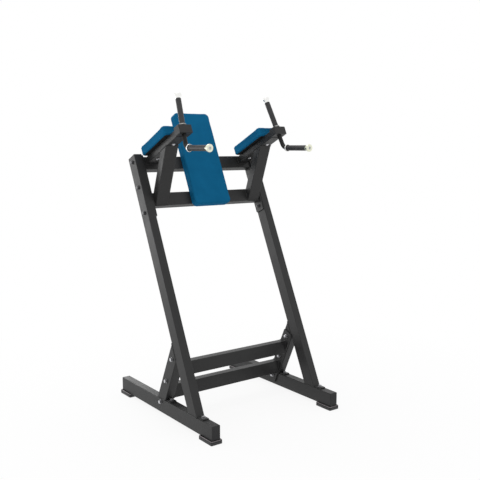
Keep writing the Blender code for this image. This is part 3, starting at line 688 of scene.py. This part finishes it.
def foot_rims():
    """The raised rim of each rubber foot, round the foot plate's top edge, in a lighter grey that paints the
    highlight on that edge.
    """
    for side, _ in SIDES:
        for end in ("front", "rear"):
            low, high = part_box("foot_pad_%s_%s" % (end, side))
            name = "foot_rim_%s_%s" % (end, side)
            link_piece(name, rim_mesh(low, high, name), FINISHES["foot_rim"])


def grips():
    """Rubber grips, turned collars and end caps with their screws."""
    # the upper collars take a darker copy of the aluminium: painted shade
    rims = {"upper": FINISHES["dull_aluminium"], "lower": FINISHES["bright_aluminium"]}
    caps = {"upper": FINISHES["bright_aluminium"], "lower": FINISHES["satin_aluminium"]}
    for side, sign in SIDES:
        for level in ("upper", "lower"):
            names = {kind: "%s_%s_%s" % (kind, level, side)
                     for kind in ("handle_grip", "grip_collar", "grip_cap")}
            place, length = grip_place(names["handle_grip"], level, sign)
            rubber = link_piece(names["handle_grip"] + "_rubber", grip_mesh(length), FINISHES["black_rubber"],
                                place)
            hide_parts(names["handle_grip"])
            collar = link_piece(names["grip_collar"] + "_turned", collar_mesh(), rims[level],
                                place @ Matrix.Translation((0, 0, -COLLAR_HEIGHT - GAP)),
                                FINISHES["black_rubber"])
            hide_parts(names["grip_collar"])
            cap = link_piece(names["grip_cap"] + "_turned", cap_mesh(), caps[level],
                             place @ Matrix.Translation((0, 0, length)))
            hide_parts(names["grip_cap"])
            link_piece(names["grip_cap"] + "_screw", mesh_from(socket_screw(), "socket_screw", 30),
                       FINISHES["zinc_plated_steel"],
                       place @ Matrix.Translation((0, 0, length + CAP_LENGTH - SCREW_SEAT)))


def grip_place(node, level, sign):
    """A placement at a grip's base with local +Z towards its free end, and the grip's length."""
    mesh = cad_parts[node].data
    points = [v.co.copy() for v in mesh.vertices]
    if level == "lower":
        axis = Vector((0, -1, 0))
    else:
        axis = Vector((-sign * math.tan(HANDLE_INWARD), math.sin(LEAN), math.cos(LEAN))).normalized()
    centre = sum(points, Vector()) / len(points)
    spread = [(p - centre).dot(axis) for p in points]
    length = max(spread) - min(spread)
    base = centre + axis * min(spread)
    turn = Vector((0, 0, 1)).rotation_difference(axis).to_matrix().to_4x4()
    return Matrix.Translation(base) @ turn, length


def collar_mesh():
    """A turned collar. The end under the grip has the second finish, black as painted shade."""
    bm = bmesh.new()
    edge = COLLAR_RADIUS - 0.0015
    profile = rounded([(GRIP_BORE, 0), (edge, 0), (COLLAR_RADIUS, 0.0015), (COLLAR_RADIUS, 0.0060),
                       (COLLAR_RADIUS - 0.002, COLLAR_HEIGHT), (GRIP_BORE, COLLAR_HEIGHT)], 0.0009)
    angles = circle(56)
    rings = [ring(bm, radius, height, angles) for radius, height in profile]
    bridge(bm, rings + rings[:1])
    bmesh.ops.recalc_face_normals(bm, faces=bm.faces)
    mesh = mesh_from(bm, "collar", 30)
    for face in mesh.polygons:
        face.material_index = int(face.normal.z > 0.8 and face.center.z > COLLAR_FACE)
    return mesh


def grip_mesh(length):
    """A rubber sleeve with a diamond knurl between two plain, rounded lips."""
    bm = bmesh.new()
    angles = circle(GRIP_SEGMENTS)
    rows = int(length / GRIP_ROW)
    rings = []
    for row in range(rows + 1):
        height = length * row / rows
        end = min(height, length - height)
        lip = LIP_DROP * (1 - min(end / LIP_LENGTH, 1)) ** 2
        knurl = max(0.0, min((end - KNURL_START) / KNURL_FADE, 1))
        wave = height / KNURL_RISE * math.pi
        points = []
        for angle in angles:
            a = abs(math.sin(KNURL_TWISTS / 2 * angle + wave))
            b = abs(math.sin(KNURL_TWISTS / 2 * angle - wave))
            groove = KNURL_DEPTH * knurl * max(0, 1 - min(a, b) / KNURL_WIDTH)
            radius = GRIP_RADIUS - lip - groove
            points.append(bm.verts.new((radius * math.cos(angle), radius * math.sin(angle), height)))
        rings.append(points)
    rings += [ring(bm, GRIP_BORE, height, angles) for height in (length, 0)]
    bridge(bm, rings + rings[:1])
    bmesh.ops.recalc_face_normals(bm, faces=bm.faces)
    return mesh_from(bm, "grip", 50)


def cap_mesh():
    """A flared aluminium cap with grooves round its rim and a recess for its screw."""
    outer, end, flare = CAP_RADIUS, CAP_LENGTH, CAP_FLARE
    profile = [
        (0, 0.0004), (0.0145, 0.0004), (0.0147, flare * 0.25), (0.0156, flare * 0.5), (0.0173, flare * 0.72),
        (0.0197, flare * 0.92), (outer, flare + 0.0006), (outer, end - 0.0065),
        (outer - 0.0005, end - 0.0060), (outer, end - 0.0055), (outer, end - 0.002),
        (outer - 0.0018, end - 0.0003), (0.0125, end), (0.0115, end - 0.0006), (0.0075, end - 0.0006),
        (0.0072, end - 0.0060), (0, end - 0.0060)]
    return mesh_from(lathe(rounded(profile, 0.0006, 2), 64), "cap", 28)


def rounded_block(width, length, bottom, top, corner):
    """A block that is rounded in plan."""
    bm = bmesh.new()
    bmesh.ops.create_cube(bm, size=1, matrix=Matrix.Translation((0, 0, (bottom + top) / 2))
                          @ Matrix.Diagonal((width, length, top - bottom, 1)))
    upright = [e for e in bm.edges if abs((e.verts[0].co - e.verts[1].co).normalized().z) > 0.9]
    bmesh.ops.bevel(bm, geom=upright, offset=corner, segments=6, affect="EDGES", profile=0.5)
    return bm


def cushion_start(width, length, thickness, corner):
    """The foam block before it swells: rounded in plan, with rolled top and bottom edges."""
    bm = rounded_block(width, length, 0, thickness, corner)
    rim = [e for e in bm.edges if min(v.co.z for v in e.verts) > thickness - 1e-5]
    bmesh.ops.bevel(bm, geom=rim, offset=FOAM_EDGE, segments=4, affect="EDGES", profile=0.5)
    foot = [e for e in bm.edges if max(v.co.z for v in e.verts) < 1e-5]
    bmesh.ops.bevel(bm, geom=foot, offset=FOAM_FOOT, segments=2, affect="EDGES", profile=0.5)
    return bm


def apply_modifiers(item):
    """Replaces an object's mesh by the one that its modifiers make."""
    evaluated = item.evaluated_get(bpy.context.evaluated_depsgraph_get())
    mesh = bpy.data.meshes.new_from_object(evaluated)
    old = item.data
    item.modifiers.clear()
    item.data = mesh
    bpy.data.meshes.remove(old)


def swell(item, voxel, limit):
    """Remeshes a cushion, fills it by a short cloth run held at its seat, and caps how far it moves."""
    scene = bpy.context.scene
    remesh = item.modifiers.new("remesh", "REMESH")
    remesh.mode = "VOXEL"
    remesh.voxel_size = voxel
    apply_modifiers(item)
    mesh = item.data
    start = [v.co.copy() for v in mesh.vertices]
    held = item.vertex_groups.new(name="held")
    held.add([v.index for v in mesh.vertices if v.co.z < HELD_BELOW], 1.0, "REPLACE")
    cloth = item.modifiers.new("fill", "CLOTH")
    settings = cloth.settings
    settings.use_pressure = True
    settings.uniform_pressure_force = 4
    settings.vertex_group_mass = "held"
    settings.effector_weights.gravity = 0
    settings.mass = 0.3
    settings.quality = 6
    settings.tension_stiffness = settings.compression_stiffness = 12
    settings.bending_stiffness = 2
    cloth.collision_settings.use_collision = False
    cloth.point_cache.frame_start, cloth.point_cache.frame_end = 1, SWELL_FRAMES
    for frame_number in range(1, SWELL_FRAMES + 1):
        scene.frame_set(frame_number)
    evaluated = item.evaluated_get(bpy.context.evaluated_depsgraph_get())
    moved = [v.co.copy() for v in evaluated.data.vertices]
    item.modifiers.remove(cloth)
    item.vertex_groups.clear()
    scene.frame_set(1)
    normals = [n.vector.copy() for n in mesh.vertex_normals]
    for vertex, before, after, normal in zip(mesh.vertices, start, moved, normals):
        step = after - before
        outwards = step.dot(normal)
        if outwards < 0:
            step -= normal * outwards
        if step.length > limit:
            step = step.normalized() * limit
        vertex.co = before + step


def relax(mesh):
    """Evens out a voxel mesh's steps, except at its seat."""
    bm = bmesh.new()
    bm.from_mesh(mesh)
    loose = [v for v in bm.verts if v.co.z >= FLAT_BELOW]
    bmesh.ops.smooth_vert(bm, verts=loose, factor=0.5, use_axis_x=True, use_axis_y=True, use_axis_z=True)
    bm.to_mesh(mesh)
    bm.free()


def settle(p, width, length, thickness, corner):
    """The step from a point of a swollen cushion to the stretched form: crowned, with drawn-in sides."""
    reach = Vector((max(abs(p.x) - (width / 2 - corner), 0), max(abs(p.y) - (length / 2 - corner), 0)))
    if reach.length > 1e-9:
        outside, way = reach.length - corner, reach.normalized()
    else:
        gaps = (width / 2 - abs(p.x), length / 2 - abs(p.y))
        outside = -min(gaps)
        way = Vector((1, 0)) if gaps[0] < gaps[1] else Vector((0, 1))
    way = Vector((math.copysign(way.x, p.x), math.copysign(way.y, p.y), 0))
    across, down, up = 2 * p.x / width, 2 * p.y / length, p.z / thickness
    middle = max(0, 1 - min(abs(across), abs(down)) ** 2)
    waist = PAD_WAIST * math.sin(math.pi * min(1, max(0, up))) ** 2 * middle
    crown = PAD_CROWN * (max(0, 1 - across ** 2) * max(0, 1 - down ** 2) - 1)
    side, top = outside + waist, p.z - thickness - crown
    rolled = Vector((side + PAD_EDGE, top + PAD_EDGE))
    if rolled.x > 0 and rolled.y > 0:
        off = rolled.length - PAD_EDGE
        turn = rolled.normalized()
        return -(way * turn.x + Vector((0, 0, turn.y))) * off
    foot = -p.z
    if foot > side and foot > top:
        return Vector((0, 0, foot))
    return -way * side if side > top else Vector((0, 0, -top))


def fit_cushion(mesh, width, length, thickness, corner):
    """Scales a swollen cushion to its size, flattens its seat and presses pleats in at its corners."""
    xs, ys, zs = zip(*(v.co for v in mesh.vertices))
    spans = (max(xs) - min(xs), max(ys) - min(ys), max(zs) - min(zs))
    bottom = min(zs)
    for vertex in mesh.vertices:
        p = vertex.co
        p.x *= width / spans[0]
        p.y *= length / spans[1]
        p.z = (p.z - bottom) * thickness / spans[2]
    for _ in range(SETTLE_ROUNDS):
        for vertex in mesh.vertices:
            vertex.co += settle(vertex.co, width, length, thickness, corner) * SETTLE_SHARE
    for vertex in mesh.vertices:
        p = vertex.co
        cx = math.copysign(max(abs(p.x) - (width / 2 - corner), 0), p.x)
        cy = math.copysign(max(abs(p.y) - (length / 2 - corner), 0), p.y)
        if cx and cy:
            angle = math.atan2(abs(cy), abs(cx))
            fade = max(0.0, 1 - p.z / (thickness * 0.75))
            side = min(1, max(0, math.hypot(cx, cy) / corner - 0.6) / 0.3)
            fold = abs(math.sin(angle * PLEATS + 0.4)) ** 0.6
            press = PLEAT_DEPTH * fade * side * (1 - fold) * math.sin(min(math.pi, angle * 2)) ** 0.5
            outwards = Vector((cx, cy, 0)).normalized()
            vertex.co = p - outwards * press
        if p.z > thickness * 0.5:
            wave = noise.noise(Vector((p.x * 14, p.y * 14, p.z * 40)))
            vertex.co += Vector((0, 0, WRINKLE * wave))


def cushion(name, size, corner, board, place, voxel, limit):
    """A padded cushion on its board: swollen foam under stretched vinyl, tucked under with small pleats."""
    width, length, thickness = size
    inset = limit * SWELL_ROOM
    bm = cushion_start(width - 2 * inset, length - 2 * inset, thickness - inset, corner - inset)
    item = bpy.data.objects.new(name, mesh_from(bm, name))
    bpy.context.scene.collection.objects.link(item)
    swell(item, voxel, limit)
    relax(item.data)
    divide = item.modifiers.new("divide", "SUBSURF")
    divide.levels = divide.render_levels = 1
    apply_modifiers(item)
    fit_cushion(item.data, width, length, thickness, corner)
    pocket = rounded_block(board[0] + 2 * GAP, board[1] + 2 * GAP, POCKET_BOTTOM, BOARD_THICKNESS + GAP,
                           corner - PAD_HEM)
    cutter = bpy.data.objects.new("pocket", mesh_from(pocket, "pocket"))
    bpy.context.scene.collection.objects.link(cutter)
    cut = item.modifiers.new("pocket", "BOOLEAN")
    cut.operation, cut.solver, cut.object = "DIFFERENCE", "EXACT", cutter
    bpy.context.view_layer.update()
    apply_modifiers(item)
    bpy.data.objects.remove(cutter, do_unlink=True)
    item.data.shade_smooth()
    item.data.set_sharp_from_angle(angle=math.radians(55))
    item.data.materials.clear()
    item.data.materials.append(FINISHES["blue_vinyl"])
    item.data.transform(place)
    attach(item, "root")
    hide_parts(name.replace("_upholstery", "_cushion"))


def cushions():
    """The back pad and the two arm pads."""
    back = tilted_frame(0, BEAM_FRONT + GAP, BACK_PAD_MIDDLE, "front")
    cushion("back_pad_upholstery", BACK_PAD_SIZE, BACK_PAD_CORNER, BACK_BOARD_SIZE, back, BACK_PAD_VOXEL,
            BACK_PAD_SWELL)
    for side, sign in SIDES:
        place = tilted_frame(sign * ARM_MIDDLE, ARM_PAD_MIDDLE, ARM_BEAM_TOP + GAP, "top")
        cushion("arm_pad_%s_upholstery" % side, ARM_PAD_SIZE, ARM_PAD_CORNER, ARM_BOARD_SIZE, place,
                ARM_PAD_VOXEL, ARM_PAD_SWELL)


def surroundings():
    """A world that is white to the camera and in reflections, and dimmer where it lights the station."""
    world = bpy.data.worlds.new("world")
    bpy.context.scene.world = world
    world.use_nodes = True
    tree = world.node_tree
    path = add_node(tree, "ShaderNodeLightPath").outputs
    seen = add_node(tree, "ShaderNodeMath", {0: path["Is Camera Ray"], 1: path["Is Glossy Ray"]},
                    operation="MAXIMUM")
    through = add_node(tree, "ShaderNodeMath", {0: seen.outputs[0], 1: path["Is Transmission Ray"]},
                       operation="MAXIMUM")
    level = add_node(tree, "ShaderNodeMapRange", {"Value": through.outputs[0], "To Min": WORLD_LIGHT,
                                                  "To Max": 1.0})
    background = tree.nodes["Background"]
    background.inputs["Color"].default_value = (1, 1, 1, 1)
    tree.links.new(level.outputs[0], background.inputs["Strength"])


def floor_finish():
    """White paint that glows to the camera and in reflections, a little less round the station."""
    material = bpy.data.materials.new("floor_white")
    material.use_nodes = True
    tree = material.node_tree
    tree.nodes.remove(tree.nodes["Principled BSDF"])
    paint = add_node(tree, "ShaderNodeBsdfDiffuse", {"Color": (FLOOR_PAINT, FLOOR_PAINT, FLOOR_PAINT, 1)})
    glow = add_node(tree, "ShaderNodeEmission")
    path = add_node(tree, "ShaderNodeLightPath").outputs
    seen = add_node(tree, "ShaderNodeMath", {0: path["Is Camera Ray"], 1: path["Is Glossy Ray"]},
                    operation="MAXIMUM")
    coords = add_node(tree, "ShaderNodeTexCoord")
    away = add_node(tree, "ShaderNodeVectorMath", {0: coords.outputs["Object"]}, operation="LENGTH")
    fade = add_node(tree, "ShaderNodeMapRange", {
        "Value": away.outputs["Value"], "From Min": FLOOR_FADE[0], "From Max": FLOOR_FADE[1],
        "To Min": FLOOR_GLOW[0], "To Max": FLOOR_GLOW[1]})
    share = add_node(tree, "ShaderNodeMath", {0: seen.outputs[0], 1: fade.outputs["Result"]},
                     operation="MULTIPLY")
    mix = add_node(tree, "ShaderNodeMixShader", {0: share.outputs[0], 1: paint.outputs[0],
                                                 2: glow.outputs[0]})
    tree.links.new(mix.outputs[0], tree.nodes["Material Output"].inputs["Surface"])
    return material


def stage_set():
    """A white floor and surroundings, and soft lamps: low at the rear left, overhead and at the rear."""
    surroundings()
    bm = bmesh.new()
    bmesh.ops.create_grid(bm, x_segments=1, y_segments=1, size=FLOOR_HALF)
    floor = bpy.data.objects.new("floor", mesh_from(bm, "floor"))
    bpy.context.scene.collection.objects.link(floor)
    floor.location = (0, 0, -FLOOR_DROP)
    floor.data.materials.append(floor_finish())
    for name, place, size, power in LAMPS:
        data = bpy.data.lights.new(name, "AREA")
        data.shape = "SQUARE"
        data.size = size
        data.energy = power
        lamp = bpy.data.objects.new(name, data)
        bpy.context.scene.collection.objects.link(lamp)
        lamp.location = place
        lamp.rotation_euler = (Vector(place) - LAMP_AIM).to_track_quat("Z", "Y").to_euler()
    bpy.context.scene.view_settings.view_transform = "Standard"


FINISHES = {
    "charcoal_powder_coat": powder_coat(),
    "zinc_plated_steel": bare_metal("zinc_plated_steel_finish", (0.50, 0.50, 0.52), (0.62, 0.62, 0.64), 0.28),
    "black_plastic": moulded("black_plastic_finish", (0.018, 0.018, 0.019), (0.025, 0.025, 0.026), 0.5, 1100),
    "black_rubber": moulded("black_rubber_finish", (0.021, 0.021, 0.022), (0.034, 0.033, 0.035), 0.46, 900,
                            0.4),
    "gloss_black": moulded("gloss_black_finish", (0.010, 0.010, 0.010), (0.015, 0.015, 0.015), 0.42, 700,
                           0.2),
    "bright_aluminium": bare_metal("bright_aluminium_finish", (0.86, 0.86, 0.84), (0.93, 0.93, 0.91), 0.22),
    # a darker copy of the aluminium for the upper collars: painted shade
    "dull_aluminium": bare_metal("painted_shade_aluminium_finish", (0.26, 0.26, 0.25), (0.34, 0.34, 0.33), 0.38),
    # a darker copy of the zinc for the upper side bolts: painted shade
    "dull_zinc": bare_metal("painted_shade_zinc_finish", (0.12, 0.12, 0.125), (0.18, 0.18, 0.185), 0.52),
    "grey_zinc": bare_metal("grey_zinc_finish", (0.32, 0.32, 0.33), (0.42, 0.42, 0.43), 0.4),
    # darker zinc for the hex flanks: painted shade
    "dark_zinc": bare_metal("flank_shade_zinc_finish", (0.10, 0.10, 0.105), (0.16, 0.16, 0.165), 0.42),
    # the rim is real; its lighter grey is a painted highlight on the rounded edge
    "foot_rim": moulded("foot_rim_finish", (0.19, 0.17, 0.178), (0.26, 0.235, 0.245), 0.42, 900),
    "satin_aluminium": bare_metal("satin_aluminium_finish", (0.76, 0.77, 0.62), (0.85, 0.86, 0.70), 0.3),
    "blue_vinyl": vinyl(),
    "black_board": moulded("black_board_finish", (0.012, 0.012, 0.012), (0.020, 0.020, 0.020), 0.8, 500),
}

camera()
stage_set()
dress_cad_nodes()
cushions()
grips()
side_bolts()
small_bolts()
foot_rims()
for side_name, side_sign in SIDES:
    welds(side_name, side_sign)
